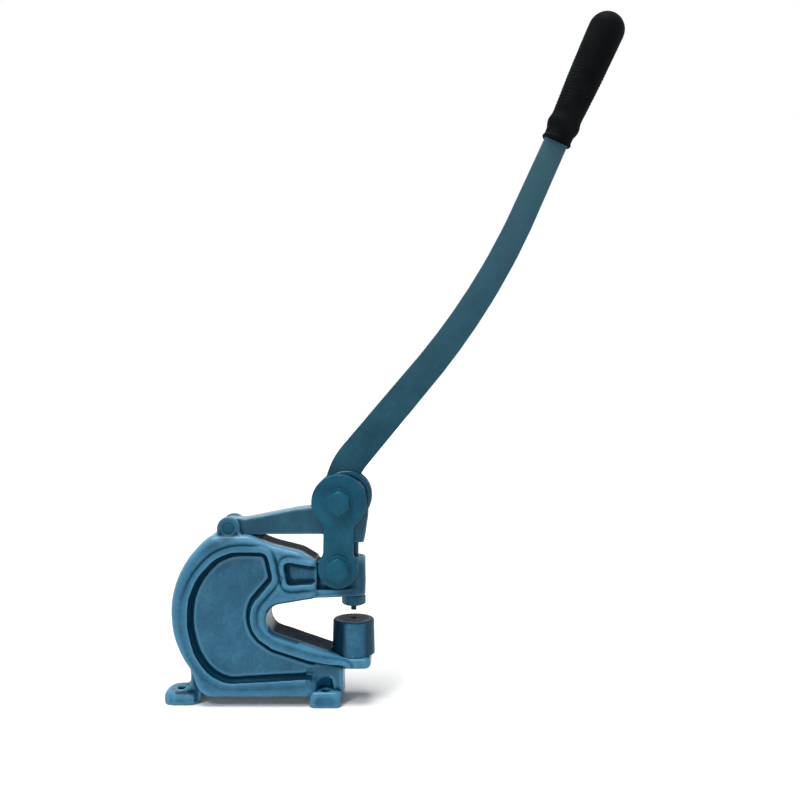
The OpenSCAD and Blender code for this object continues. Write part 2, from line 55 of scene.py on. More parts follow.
# Lengths are in metres, most of them written as millimetres times MM
MM = 0.001
# Painted highlight on what faces up: it comes in between the first two of these heights and goes out between
# the last two
PAINTED_TOP_LIGHT_HEIGHTS = (90 * MM, 130 * MM, 176 * MM, 184 * MM)


# --- materials --------------------------------------------------------------

def node_tree(name):
    mat = bpy.data.materials.new(name)
    mat.use_nodes = True
    tree = mat.node_tree
    shader = tree.nodes["Principled BSDF"]
    place = tree.nodes.new("ShaderNodeTexCoord")
    return mat, tree, shader, place.outputs["Object"]


def texture(tree, at, kind, scale, **values):
    node = tree.nodes.new(kind)
    tree.links.new(at, node.inputs["Vector"])
    node.inputs["Scale"].default_value = scale
    for key, value in values.items():
        if key in node.inputs:
            node.inputs[key].default_value = value
        else:
            setattr(node, key, value)
    return node


def ramp(tree, source, stops):
    node = tree.nodes.new("ShaderNodeValToRGB")
    tree.links.new(source, node.inputs["Fac"])
    elements = node.color_ramp.elements
    while len(elements) < len(stops):
        elements.new(0.5)
    for element, (pos, colour) in zip(elements, stops):
        element.position = pos
        element.color = (*colour, 1) if len(colour) == 3 else colour
    return node.outputs["Color"]


def grey(value):
    return (value, value, value)


def mix(tree, fac, a, b, blend="MIX"):
    node = tree.nodes.new("ShaderNodeMix")
    node.data_type = "RGBA"
    node.blend_type = blend
    for socket, value in ((node.inputs["Factor"], fac), (node.inputs[6], a), (node.inputs[7], b)):
        if isinstance(value, bpy.types.NodeSocket):
            tree.links.new(value, socket)
        else:
            socket.default_value = value if isinstance(value, (int, float)) else (*value, 1)
    return node.outputs[2]


def bump(tree, shader, heights):
    """Stacked bumps, each (height output, strength, distance)."""
    last = None
    for height, strength, distance in heights:
        node = tree.nodes.new("ShaderNodeBump")
        tree.links.new(height, node.inputs["Height"])
        node.inputs["Strength"].default_value = strength
        node.inputs["Distance"].default_value = distance
        if last:
            tree.links.new(last, node.inputs["Normal"])
        last = node.outputs["Normal"]
    tree.links.new(last, shader.inputs["Normal"])


def attribute(tree, name):
    node = tree.nodes.new("ShaderNodeAttribute")
    node.attribute_name = name
    return node.outputs["Fac"]


def scaled(tree, source, factor):
    node = tree.nodes.new("ShaderNodeMath")
    node.operation = "MULTIPLY"
    tree.links.new(source, node.inputs[0])
    node.inputs[1].default_value = factor
    return node.outputs[0]


def separated(tree, vector, axis):
    node = tree.nodes.new("ShaderNodeSeparateXYZ")
    tree.links.new(vector, node.inputs[0])
    return node.outputs[axis]


def edge_wear(tree, base, lighter, strength):
    """Paint goes thin and light along convex edges."""
    geometry = tree.nodes.new("ShaderNodeNewGeometry")
    mask = ramp(tree, geometry.outputs["Pointiness"], [(0.53, grey(0)), (0.62, grey(strength))])
    return mix(tree, mask, base, lighter)


def enamel(name, dark, mid, light, grain=1.0, coat=0.36, rough=(0.28, 0.44), specular=0.12,
           grime_and_shade=None, greyer_above=None, painted_top_light=None):
    """Glossy enamel sprayed over a rough casting: mottled colour, orange peel and small pits.

    Where the mesh is marked as hollow the colour is darkened as painted shade, and where proud it is
    lightened as a painted highlight.
    A darker colour may be given for where the mesh is marked: oil, and painted shade in recesses and
    under parts. Two heights in metres and a greyer colour may also be given, which the paint turns to
    from the lower to the upper.
    A pale colour may be given as a painted highlight on what faces up on the back of the frame and on
    the beam's bar.
    """
    mat, tree, shader, at = node_tree(name)
    hollow = attribute(tree, "hollow")
    cloud = texture(tree, at, "ShaderNodeTexNoise", 38, Detail=5.0, Roughness=0.62)
    speck = texture(tree, at, "ShaderNodeTexNoise", 260, Detail=4.0, Roughness=0.7)
    pit = texture(tree, at, "ShaderNodeTexVoronoi", 330, feature="F1", Randomness=1.0)
    peel = texture(tree, at, "ShaderNodeTexNoise", 700, Detail=2.0, Roughness=0.5)
    colour = ramp(tree, cloud.outputs["Fac"], [(0.3, dark), (0.5, mid), (0.72, light)])
    # towards the given greyer colour from the lower height to the upper
    if greyer_above:
        low, high, lighter = greyer_above
        height = separated(tree, at, "Z")
        colour = mix(tree, ramp(tree, height, [(low, grey(0)), (high, grey(0.85))]), colour, lighter)
    # painted highlight: what faces up between the given heights is lightened towards the pale colour
    if painted_top_light:
        stops = [(height, grey(value)) for height, value in zip(PAINTED_TOP_LIGHT_HEIGHTS, (0, 1, 1, 0))]
        high = ramp(tree, separated(tree, at, "Z"), stops)
        facing_up = tree.nodes.new("ShaderNodeTexCoord").outputs["Normal"]
        top_facing_light = ramp(tree, separated(tree, facing_up, "Z"), [(0.05, grey(0)), (0.5, grey(0.6))])
        colour = mix(tree, mix(tree, 1.0, high, top_facing_light, "MULTIPLY"), colour, painted_top_light)
    flecks = ramp(tree, speck.outputs["Fac"], [(0.34, grey(0.66)), (0.5, grey(1.0)), (0.66, grey(1.22))])
    colour = mix(tree, 0.6 * grain, colour, flecks, "MULTIPLY")
    colour = edge_wear(tree, colour, tuple(min(1, c * 1.9 + 0.05) for c in light), 0.5)
    # painted highlight along proud edges
    painted_edge_highlight = ramp(tree, scaled(tree, hollow, -1), [(0.10, grey(0)), (0.6, grey(0.55))])
    colour = mix(tree, painted_edge_highlight, colour, tuple(min(1, c * 1.5 + 0.05) for c in light))
    # painted shade in hollows and creases
    painted_crease_shade = ramp(tree, hollow, [(0.06, grey(0)), (0.55, grey(0.9))])
    colour = mix(tree, painted_crease_shade, colour, tuple(c * 0.35 for c in dark))
    # the marked places darken towards the given colour, for oil and painted shade; coat and specular drop
    # there and in the creases
    if grime_and_shade:
        where = attribute(tree, "grime_and_shade")
        colour = mix(tree, where, colour, grime_and_shade)
        gloss_kept = ramp(tree, mix(tree, where, painted_crease_shade, grey(1.0)), [(0, grey(1)), (1, grey(0.04))])
        tree.links.new(scaled(tree, gloss_kept, coat), shader.inputs["Coat Weight"])
        tree.links.new(scaled(tree, gloss_kept, specular), shader.inputs["Specular IOR Level"])
    tree.links.new(colour, shader.inputs["Base Color"])
    tree.links.new(ramp(tree, speck.outputs["Fac"], [(0.35, grey(rough[1])), (0.65, grey(rough[0]))]),
                   shader.inputs["Roughness"])
    shader.inputs["Specular IOR Level"].default_value = specular
    shader.inputs["Coat Weight"].default_value = coat
    shader.inputs["Coat Roughness"].default_value = 0.20
    bump(tree, shader, [(speck.outputs["Fac"], 0.55 * grain, 0.6 * MM),
                        (pit.outputs["Distance"], 0.35 * grain, 0.5 * MM),
                        (peel.outputs["Fac"], 0.25, 0.15 * MM)])
    return mat


def machined(name, colour, along, rough=0.3, metallic=1.0, specular=0.5):
    """Turned or ground steel: fine lines round or along one axis, with an oily tarnish."""
    mat, tree, shader, at = node_tree(name)
    stretch = tree.nodes.new("ShaderNodeMapping")
    stretch.inputs["Scale"].default_value = along
    tree.links.new(at, stretch.inputs["Vector"])
    fine = texture(tree, stretch.outputs["Vector"], "ShaderNodeTexNoise", 900, Detail=3.0, Roughness=0.6)
    stain = texture(tree, at, "ShaderNodeTexNoise", 120, Detail=5.0, Roughness=0.65)
    lined = ramp(tree, fine.outputs["Fac"], [(0.3, tuple(c * 0.78 for c in colour)), (0.7, colour)])
    stained = ramp(tree, stain.outputs["Fac"], [(0.5, grey(0)), (0.75, grey(0.55))])
    darkened = tuple(c * o for c, o in zip(colour, (0.4, 0.3, 0.18)))
    tree.links.new(mix(tree, stained, lined, darkened), shader.inputs["Base Color"])
    tree.links.new(ramp(tree, fine.outputs["Fac"], [(0.3, grey(rough + 0.14)), (0.7, grey(rough - 0.06))]),
                   shader.inputs["Roughness"])
    shader.inputs["Metallic"].default_value = metallic
    shader.inputs["Specular IOR Level"].default_value = specular
    bump(tree, shader, [(fine.outputs["Fac"], 0.25, 0.05 * MM), (stain.outputs["Fac"], 0.1, 0.1 * MM)])
    return mat


def vinyl(name):
    """Matt black moulded grip: a fine leathery grain, a cloudy black and rubbed high spots."""
    mat, tree, shader, at = node_tree(name)
    grain = texture(tree, at, "ShaderNodeTexVoronoi", 620, feature="SMOOTH_F1", Randomness=1.0)
    cloud = texture(tree, at, "ShaderNodeTexNoise", 30, Detail=5.0, Roughness=0.6)
    fine = texture(tree, at, "ShaderNodeTexNoise", 900, Detail=3.0, Roughness=0.6)
    colour = ramp(tree, cloud.outputs["Fac"],
                  [(0.35, (0.003, 0.004, 0.0045)), (0.7, (0.007, 0.009, 0.010))])
    colour = edge_wear(tree, colour, (0.04, 0.042, 0.045), 0.3)
    tree.links.new(colour, shader.inputs["Base Color"])
    tree.links.new(ramp(tree, cloud.outputs["Fac"], [(0.3, grey(0.72)), (0.7, grey(0.58))]),
                   shader.inputs["Roughness"])
    shader.inputs["Specular IOR Level"].default_value = 0.03
    bump(tree, shader, [(grain.outputs["Distance"], 0.35, 0.3 * MM), (fine.outputs["Fac"], 0.2, 0.1 * MM)])
    return mat


# The frame's paint: a darker colour for oil and painted shade, and a pale painted highlight on what faces up
casting = enamel("casting_enamel", (0.005, 0.086, 0.168), (0.013, 0.120, 0.220), (0.028, 0.174, 0.292),
                 grime_and_shade=(0.004, 0.022, 0.042), painted_top_light=(0.160, 0.310, 0.410))
plate_paint = enamel("plate_enamel", (0.003, 0.060, 0.108), (0.005, 0.084, 0.143), (0.010, 0.112, 0.178),
                     grain=0.45, coat=0.08, specular=0.10)
# The beam's paint has a pale painted highlight on what faces up
beam_paint = enamel("beam_enamel", (0.003, 0.050, 0.090), (0.005, 0.071, 0.122), (0.010, 0.100, 0.164),
                    grain=0.7, coat=0.35, specular=0.08, painted_top_light=(0.200, 0.380, 0.480))
# The lever's paint goes greyer from 0.22 m up to 0.50 m
lever_paint = enamel("lever_enamel", (0.005, 0.048, 0.080), (0.009, 0.067, 0.106), (0.016, 0.090, 0.136),
                     grain=0.35, coat=0.06, rough=(0.40, 0.55), specular=0.12,
                     greyer_above=(0.22, 0.50, (0.044, 0.112, 0.148)))
bright = machined("ground_steel", (0.50, 0.51, 0.52), (1, 1, 18))
dark_steel = machined("tool_steel", (0.050, 0.052, 0.056), (1, 1, 18),
                      rough=0.50, metallic=0.04, specular=0.05)
bronze = machined("bearing_bronze", (0.52, 0.34, 0.15), (1, 18, 1), rough=0.34)
black = vinyl("grip_vinyl")
PAINT = {"casting_enamel": casting, "dark_enamel": plate_paint, "beam_enamel": beam_paint,
         "lever_enamel": lever_paint, "grip_vinyl": black, "bright_steel": bright,
         "tool_steel": dark_steel, "bearing_bronze": bronze}


# --- pieces from CAD nodes ----------------------------------------------------

def plain_copy(node):
    """A new mesh with the node's shape, its split corners joined."""
    source = nodes[node].data
    mesh = bpy.data.meshes.new(node + "_shape")
    mesh.from_pydata([v.co for v in source.vertices], [], [p.vertices for p in source.polygons])
    bm = bmesh.new()
    bm.from_mesh(mesh)
    bmesh.ops.remove_doubles(bm, verts=bm.verts, dist=2e-6)
    bmesh.ops.dissolve_degenerate(bm, edges=bm.edges, dist=1e-6)
    bm.to_mesh(mesh)
    bm.free()
    return mesh


def modify(obj, kind, **values):
    modifier = obj.modifiers.new(kind.lower(), kind)
    for key, value in values.items():
        setattr(modifier, key, value)
    return modifier


def apply_all(obj):
    graph = bpy.context.evaluated_depsgraph_get()
    mesh = bpy.data.meshes.new_from_object(obj.evaluated_get(graph))
    old = obj.data
    obj.modifiers.clear()
    obj.data = mesh
    bpy.data.meshes.remove(old)


def finish_piece(obj, node, angle=35):
    """Smooth shading, the node's paint, its body, and the CAD node hidden."""
    for polygon in obj.data.polygons:
        polygon.use_smooth = True
    obj.data.set_sharp_from_angle(angle=math.radians(angle))
    obj.data.materials.clear()
    obj.data.materials.append(PAINT[slot_of[node]])
    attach(obj, body_of[node])
    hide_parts(node)
    return obj


def new_piece(name, mesh):
    obj = bpy.data.objects.new(name, mesh)
    scene.collection.objects.link(obj)
    return obj


def roughen(mesh, size, depth, wave, wave_depth):
    """Moves the skin along its normals by a fine sand-cast grain and a slow waviness."""
    mesh.update()
    normals = [v.normal.copy() for v in mesh.vertices]
    for v, n in zip(mesh.vertices, normals):
        fine = noise.noise(v.co / size)
        slow = noise.noise(v.co / wave + Vector((7, 3, 1)))
        v.co += n * (fine * depth + slow * wave_depth)
    mesh.update()


def ring_skin(name, rings, loop=False):
    """A closed skin through rings of points, with end caps, or back to the first ring."""
    sides, count = len(rings[0]), len(rings)
    points = [p for ring in rings for p in ring]
    faces = [(k * sides + i, k * sides + (i + 1) % sides,
              (k + 1) % count * sides + (i + 1) % sides, (k + 1) % count * sides + i)
             for k in range(count if loop else count - 1) for i in range(sides)]
    if not loop:
        faces += [tuple(range(sides))[::-1], tuple(range((count - 1) * sides, count * sides))]
    mesh = bpy.data.meshes.new(name)
    mesh.from_pydata(points, [], faces)
    bm = bmesh.new()
    bm.from_mesh(mesh)
    bmesh.ops.recalc_face_normals(bm, faces=bm.faces)
    bm.to_mesh(mesh)
    bm.free()
    return new_piece(name, mesh)


def neighbours(mesh):
    """The two ends of every edge, and how many edges meet at each corner."""
    ends = np.empty(len(mesh.edges) * 2, dtype=np.int64)
    mesh.edges.foreach_get("vertices", ends)
    return ends.reshape(-1, 2).T, np.bincount(ends, minlength=len(mesh.vertices))


def averaged(at, ends, degree, rounds, weight):
    """Moves each corner towards the mean of its neighbours, as far as its weight says, several times."""
    (a, b), count = ends, len(at)
    for _ in range(rounds):
        total = [np.bincount(a, at[b, k], count) + np.bincount(b, at[a, k], count) for k in range(3)]
        at = at + (np.stack(total, 1) / degree[:, None] - at) * weight[:, None]
    return at


def ease(value, low, high):
    """0 up to low, 1 from high on, with a soft start and end between them."""
    t = np.clip((value - low) / (high - low), 0, 1)
    return t * t * (3 - 2 * t)


def store(mesh, name, values):
    mesh.attributes.new(name, "FLOAT", "POINT").data.foreach_set("value", values.astype(np.float32))


def placed(mesh, at):
    """Puts the corners where they belong and returns their normals."""
    mesh.vertices.foreach_set("co", at.ravel())
    mesh.update()
    normal = np.empty(at.size)
    mesh.vertices.foreach_get("normal", normal)
    return normal.reshape(-1, 3)


def cast_piece(node, voxel, rounds, grain=(3.2 * MM, 0.10 * MM), wave=(17 * MM, 0.25 * MM),
               soft=None, soft_rounds=0, dress=None):
    """A casting or forging: the node's shape with every edge and corner rounded over and a rough skin.

    Where soft says so the edges are rounded further, and dress may model the skin and say how dark
    it is painted, for oil and painted shade. The mesh keeps that and how hollow or proud it is within
    a few millimetres, for painted shade in hollows and painted highlights on proud edges.
    """
    obj = new_piece(node + "_cast", plain_copy(node))
    modify(obj, "REMESH", mode="VOXEL", voxel_size=voxel, adaptivity=0.0)
    apply_all(obj)
    mesh = obj.data
    ends, degree = neighbours(mesh)
    at = np.empty(len(mesh.vertices) * 3)
    mesh.vertices.foreach_get("co", at)
    at = at.reshape(-1, 3)
    at = averaged(at, ends, degree, rounds, np.full(len(at), 0.5))
    softness = np.zeros(len(at))
    if soft:
        softness = soft(at[:, 0], at[:, 1], at[:, 2])
        at = averaged(at, ends, degree, soft_rounds, 0.5 * softness)
    normal = placed(mesh, at)
    if dress:
        at, grime_and_shade = dress(mesh, at, normal)
        normal = placed(mesh, at)
        store(mesh, "grime_and_shade", grime_and_shade)
    filled = averaged(at, ends, degree, 30, np.full(len(at), 0.5))
    hollow = np.clip(((filled - at) * normal).sum(1) / (0.45 * MM), -1, 1)
    # painted shade and painted highlight are weaker where the rounding is strongest
    store(mesh, "hollow", hollow * (1 - 0.8 * ease(softness, 0.3, 1)))
    roughen(mesh, *grain, *wave)
    return finish_piece(obj, node, angle=180)


def bevelled_piece(node, width, grime_and_shade=None):
    """A plate or turned piece: the node's shape with its edges broken, painted shade laid on by normal if
    asked.
    """
    obj = new_piece(node + "_edged", plain_copy(node))
    bm = bmesh.new()
    bm.from_mesh(obj.data)
    bmesh.ops.dissolve_limit(bm, angle_limit=math.radians(1.2), verts=bm.verts, edges=bm.edges)
    bm.to_mesh(obj.data)
    bm.free()
    modify(obj, "BEVEL", width=width, segments=3, limit_method="ANGLE",
           angle_limit=math.radians(28), miter_outer="MITER_ARC", use_clamp_overlap=True)
    apply_all(obj)
    if grime_and_shade:
        store(obj.data, "grime_and_shade", np.array([grime_and_shade(v.normal) for v in obj.data.vertices]))
    return finish_piece(obj, node)


# Places on the frame, x back to front and z up
FOOT_X = -17 * MM
PAD_Z = 15.5 * MM
PILLAR_Z = 34 * MM
PILLAR_X = (-18 * MM, 4 * MM)
EAR_Z = (150 * MM, 152 * MM)
EAR_X = -60 * MM
REAR_PIN = (-88 * MM, 159 * MM)
RAM_EXIT = (24.5 * MM, 112 * MM)


def rim_zone(x, y, z):
    """The rims and the ends of the C, and more so the hollows over the front bolts, but not ears or pads."""
    zone = 0.25 * ease(np.abs(y), 16 * MM, 18.5 * MM) * (1 - ease(z, *EAR_Z) * (x < EAR_X))
    zone *= np.where((x > FOOT_X) & (z < PAD_Z), 0, 1)
    in_pillar = (x > PILLAR_X[0]) & (x < PILLAR_X[1]) & (z > PAD_Z) & (z < PILLAR_Z)
    return np.maximum(zone, in_pillar & (np.abs(y) > 8 * MM))


def beam_top_zone(x, y, z):
    """The upper edges of the beam, from its eye to the side plates."""
    return ease(z, 156 * MM, 160 * MM) * ease(x, -79 * MM, -74 * MM)


def recess_walls(mesh, at, normal):
    """The corners on walls that face another wall across a recess, and how steeply all corners stand."""
    x, y, z = at.T
    skin = BVHTree.FromPolygons(at.tolist(), [p.vertices for p in mesh.polygons])
    flat = np.hypot(normal[:, 0], normal[:, 2])
    between = (np.abs(y) > 12 * MM) & (np.abs(y) < 21 * MM)
    by_foot = (x > -12 * MM) & (z < PILLAR_Z)
    longest_way_across, clear_of_skin = 130 * MM, 0.6 * MM
    found = []
    for i in np.nonzero(between & (flat > 0.4) & ~by_foot)[0]:
        out = Vector((normal[i, 0], 0, normal[i, 2])).normalized()
        if skin.ray_cast(Vector(at[i]) + out * clear_of_skin, out, longest_way_across)[0] is not None:
            found.append(i)
    return np.array(found), flat


def frame_grime_and_shade(at, normal, walls, flat):
    """How dark each corner is painted: painted shade on the recess walls and the arm's top, and oil
    and painted shade in the throat and round the ears and the head.
    """
    x, y, z = at.T
    darkened = np.zeros(len(at))
    # painted shade on recess walls that face another wall
    darkened[walls] = 0.75 * np.clip((flat[walls] - 0.4) / 0.35, 0, 1)
    # painted shade on what faces up along the arm's top, and oil and painted shade in the throat, but not
    # along the near edge
    up = ease(normal[:, 2], 0.5, 0.85)
    arm_top = (x > -64 * MM) & (x < -4 * MM) & (z > 125 * MM)
    throat = (x > -53 * MM) & (z > 40 * MM) & (z < 90 * MM)
    darkened = np.maximum(darkened, up * arm_top * ease(y, -17 * MM, -6 * MM))
    darkened = np.maximum(darkened, up * throat * ease(y, -21 * MM, -12 * MM))
    # darker round the rear pin and the ram's exit: oil and painted shade
    for (px, pz), reach in ((REAR_PIN, 13 * MM), (RAM_EXIT, 22 * MM)):
        darkened = np.maximum(darkened, 0.55 * (1 - ease(np.hypot(x - px, z - pz), 0.6 * reach, reach)))
    return darkened


def beaded(at, walls, flat):
    """The corners with a soft bead raised along the mouths of the recesses, but not along the throat."""
    x, y, z = at.T
    # the throat lies between two slanting lines
    in_throat = (x > -60 * MM) & (z > 44 * MM - 0.34 * x) & (z < 104 * MM + 0.168 * x)
    mouth = walls[(np.abs(y[walls]) > 17.5 * MM) & ~in_throat[walls]]
    near = KDTree(len(mouth))
    for i in mouth:
        near.insert((x[i], 0, z[i]), int(i))
    near.balance()
    # the bead is made by a valley beyond it, deepest at the top and beside the throat
    from_mouth, width = 5.6 * MM, 1.8 * MM
    depth = (0.22 + 0.38 * ease(z + 0.5 * x, 15 * MM, 75 * MM)) * MM
    at = at.copy()
    for i in np.nonzero((np.abs(y) > 19.5 * MM) & (flat < 0.8) & (z > 15 * MM))[0]:
        distance = near.find((x[i], 0, z[i]))[2]
        at[i, 1] -= math.copysign(depth[i] * math.exp(-((distance - from_mouth) / width) ** 2), y[i])
    return at


def dress_frame(mesh, at, normal):
    """The frame's corners with their beads, and how dark each is painted for oil and painted shade."""
    walls, flat = recess_walls(mesh, at, normal)
    return beaded(at, walls, flat), frame_grime_and_shade(at, normal, walls, flat)


def die_painted_shade(normal):
    """Painted shade on the die holder's back, its front and its top."""
    back, front, top = -4 * normal.x - 0.9, 4 * normal.x - 1.9, 3 * normal.z - 0.9
    return max(0.0, min(1.0, back), min(0.65, front), min(0.8, top))


cast_piece("frame_casting", 0.75 * MM, 7, soft=rim_zone, soft_rounds=56, dress=dress_frame)
cast_piece("press_beam", 0.55 * MM, 6, grain=(3.0 * MM, 0.07 * MM), wave=(15 * MM, 0.15 * MM),
           soft=beam_top_zone, soft_rounds=60)
for name in ("side_plate_near", "side_plate_far"):
    bevelled_piece(name, 1.1 * MM)
bevelled_piece("lever_bar", 1.3 * MM)
for name in ("anchor_washers", "fulcrum_washers", "die_button", "eccentric_near", "eccentric_far",
             "beam_bushing", "rear_pivot_pin", "ram", "coupling_nut", "ram_pin"):
    bevelled_piece(name, 0.4 * MM)
# painted shade on the die holder's sides and top
bevelled_piece("die_holder", 0.8 * MM, grime_and_shade=die_painted_shade)
for name in ("punch", "die_set_screw", "eccentric_dowels"):
    bevelled_piece(name, 0.25 * MM)


# --- grip ---------------------------------------------------------------------

# Where the solid grip starts, and which way it goes
GRIP_START = Vector((0.21018, 0, 0.51151))
GRIP_AXIS = Vector((math.cos(math.radians(65.8)), 0, math.sin(math.radians(65.8))))
GRIP_SIDE = Vector((-GRIP_AXIS.z, 0, GRIP_AXIS.x))
GRIP_FLATNESS = 0.84
# In millimetres: half the thickness at distances along the grip, for a lip, a cuff, a swell
# and then the body, which widens towards its round end
GRIP_PROFILE = [(0, 12.2), (0.5, 13.2), (1.5, 13.9), (2.6, 13.9), (3.6, 13.3), (5, 13.1), (8, 13.2),
                (10.5, 13.5), (13, 14.4), (15.5, 15.1), (18, 15.3), (20, 15.0), (22.5, 14.4), (25, 14.05),
                (28, 14.1), (34, 14.35), (44, 14.8), (56, 15.4), (70, 15.9), (85, 16.3), (98, 16.6),
                (110, 16.8)]
GRIP_END = 130.5
GRIP_ROUND = 16.8
GRIP_SIDES = 96
RIB_HEIGHT = 0.18
RIB_PITCH = 3.2
SEAM_HEIGHT = 0.18
SEAM_WIDTH = 0.04


def profile_at(profile, s):
    """A smooth curve through the profile's points."""
    for i in range(len(profile) - 1):
        if s <= profile[i + 1][0]:
            break
    (s0, r0), (s1, r1) = profile[i], profile[i + 1]
    before = profile[max(i - 1, 0)]
    after = profile[min(i + 2, len(profile) - 1)]
    slope0 = (r1 - before[1]) / (s1 - before[0])
    slope1 = (after[1] - r0) / (after[0] - s0)
    t, h = (s - s0) / (s1 - s0), s1 - s0
    return ((2 * t ** 3 - 3 * t ** 2 + 1) * r0 + (t ** 3 - 2 * t ** 2 + t) * h * slope0
            + (3 * t ** 2 - 2 * t ** 3) * r1 + (t ** 3 - t ** 2) * h * slope1)


def make_grip():
    """Rings in millimetres, close together round the cuff, then along the body and over its round end."""
    body_end = GRIP_END - GRIP_ROUND
    cuff_end, last_profile = 26.5, GRIP_PROFILE[-1][0]
    stations = [i * 0.5 for i in range(53)]
    stations += [cuff_end + i * 0.8 for i in range(int((body_end - cuff_end) / 0.8))]
    stations = [(s, profile_at(GRIP_PROFILE, min(s, last_profile))) for s in stations]
    stations += [(body_end + GRIP_ROUND * math.sin(a), max(0.4, GRIP_ROUND * math.cos(a)))
                 for a in [math.radians(4 + 86 * i / 22) for i in range(23)]]
    rings = []
    for s, r in stations:
        ring = []
        for i in range(GRIP_SIDES):
            a = 2 * math.pi * i / GRIP_SIDES
            # soft moulded ribs across the lower half of the body, fading at both ends
            fade = max(0.0, min(1.0, (s - 30) / 6, (84 - s) / 10))
            rib = RIB_HEIGHT * fade * math.cos(2 * math.pi * s / RIB_PITCH)
            rib *= 0.55 + 0.45 * abs(math.cos(a))
            # a mould seam runs round the flat sides
            seam = sum(SEAM_HEIGHT * math.exp(-((a - side) / SEAM_WIDTH) ** 2)
                       for side in (math.pi / 2, 1.5 * math.pi))
            q = r + rib + (seam if 1.5 < s < body_end else 0)
            ring.append(GRIP_START + GRIP_AXIS * s * MM + GRIP_SIDE * q * MM * math.cos(a)
                        + Vector((0, GRIP_FLATNESS * q * MM * math.sin(a), 0)))
        rings.append(ring)
    obj = ring_skin("lever_grip_moulded", rings)
    roughen(obj.data, 5 * MM, 0.03 * MM, 30 * MM, 0.12 * MM)
    return finish_piece(obj, "lever_grip", angle=55)


make_grip()


# --- bolts and nuts -------------------------------------------------------------

# In millimetres
BOLT_R = 6.35
HEX_APOTHEM = 9.5
PITCH = 1.95
THREAD_DEPTH = 0.62
BOLT_FACE = 20.0
NUT_T = 11.0
# The higher, the sharper the hexagon's corners
HEX_SHARPNESS = 30
SIDES = 96


def hex_radius(a):
    """The radius of a hexagon with corners up and down, its corners a little round."""
    total = sum(abs(math.cos(a - math.radians(60 * i))) ** HEX_SHARPNESS for i in range(3))
    return HEX_APOTHEM * total ** (-1 / HEX_SHARPNESS)


def turned(at, profile):
    """Rings across the machine round the axis through (x, z), for each y and radius by angle."""
    x, z = at
    return [[Vector(((x + r(a) * math.cos(a)), y, (z + r(a) * math.sin(a)))) * MM
             for a in [2 * math.pi * i / SIDES for i in range(SIDES)]] for y, r in profile]


def round_at(r):
    return lambda a: r


def hex_up_to(limit):
    return lambda a: min(hex_radius(a), limit)


def thread_at(y):
    """The radius of a single-start thread at height y, by angle."""
    def radius(a):
        phase = (y / PITCH - a / (2 * math.pi)) % 1
        return BOLT_R - THREAD_DEPTH * abs(2 * phase - 1) ** 1.2
    return radius


def chamfered(y0, y1):
    """A hexagon's side from its bearing face at y0 to its free face at y1, turned down at the free end."""
    out = 1 if y1 > y0 else -1
    top = y1 - out * 1.45
    rows = [(y0, round_at(8.9)), (y0 + out * 0.02, round_at(9.25)), (y0 + out * 0.35, round_at(9.3)),
            (y0 + out * 0.37, hex_up_to(10.4)), (y0 + out * 0.75, hex_up_to(10.9))]
    rows += [(y0 + out * 0.75 + (top - y0 - out * 0.75) * i / 4, hex_up_to(10.9)) for i in range(1, 5)]
    rows += [(top + out * 1.25 * i / 5, hex_up_to(10.9 - 2.0 * i / 5)) for i in range(1, 6)]
    return rows + [(y1 - out * 0.07, round_at(8.55)), (y1, round_at(8.2))]


def make_bolt(node, at):
    rows = chamfered(-BOLT_FACE, -BOLT_FACE - 8)
    rows = [(-BOLT_FACE - 7.9, round_at(0.3)), (-BOLT_FACE - 7.93, round_at(4))] + rows[::-1]
    rows += [(-BOLT_FACE + 0.02, round_at(6.4)), (-BOLT_FACE + 0.6, round_at(BOLT_R))]
    end = BOLT_FACE + NUT_T + 2.5
    rows += [(y, round_at(BOLT_R)) for y in (-10, 0, 10, 20, 28)]
    y = 28.2
    while y < end - 0.7:
        rows.append((y, thread_at(y)))
        y += PITCH / 10
    rows += [(end - 0.62, round_at(5.6)), (end - 0.1, round_at(5.2)),
             (end, round_at(4.9)), (end, round_at(0.3))]
    return finish_piece(ring_skin(node + "_turned", turned(at, rows)), node, angle=38)


def make_nut(node, at):
    rows = chamfered(BOLT_FACE, BOLT_FACE + NUT_T)
    inner = [(BOLT_FACE + NUT_T - 0.02, round_at(7.3)), (BOLT_FACE + NUT_T - 0.9, round_at(6.4)),
             (BOLT_FACE + 0.8, round_at(6.4)), (BOLT_FACE + 0.02, round_at(7.2))]
    return finish_piece(ring_skin(node + "_turned", turned(at, rows + inner), loop=True), node, angle=38)


for name, at in (("anchor", (11, 123)), ("fulcrum", (12, 183))):
    make_bolt(name + "_bolt", at)
    make_nut(name + "_nut", at)


# --- camera, light, floor ------------------------------------------------------

# The photo's view: level, from the near side, at the height of the lever's lower third
camera = bpy.data.objects.new("camera", bpy.data.cameras.new("camera"))
scene.collection.objects.link(camera)
camera.location = (0.067, -0.780, 0.275)
camera.rotation_euler = (math.pi / 2, 0, 0)
camera.data.sensor_width = 36
camera.data.lens = 38.15
camera.data.clip_start = 0.01
camera.data.clip_end = 50
scene.camera = camera
scene.view_settings.view_transform = "Standard"


def sun(name, towards, strength, spread):
    lamp = bpy.data.lights.new(name, "SUN")
    lamp.energy = strength
    lamp.angle = math.radians(spread)
    obj = bpy.data.objects.new(name, lamp)
    scene.collection.objects.link(obj)
    obj.rotation_euler = Vector(towards).to_track_quat("-Z", "Y").to_euler()
    return obj


sun("key", (0.09, 0.11, -1.0), 2.9, 34)
sun("left_edge", (0.34, 0.56, -0.78), 0.85, 16)
sun("front_fill", (0.16, 1.0, -0.10), 0.53, 50)


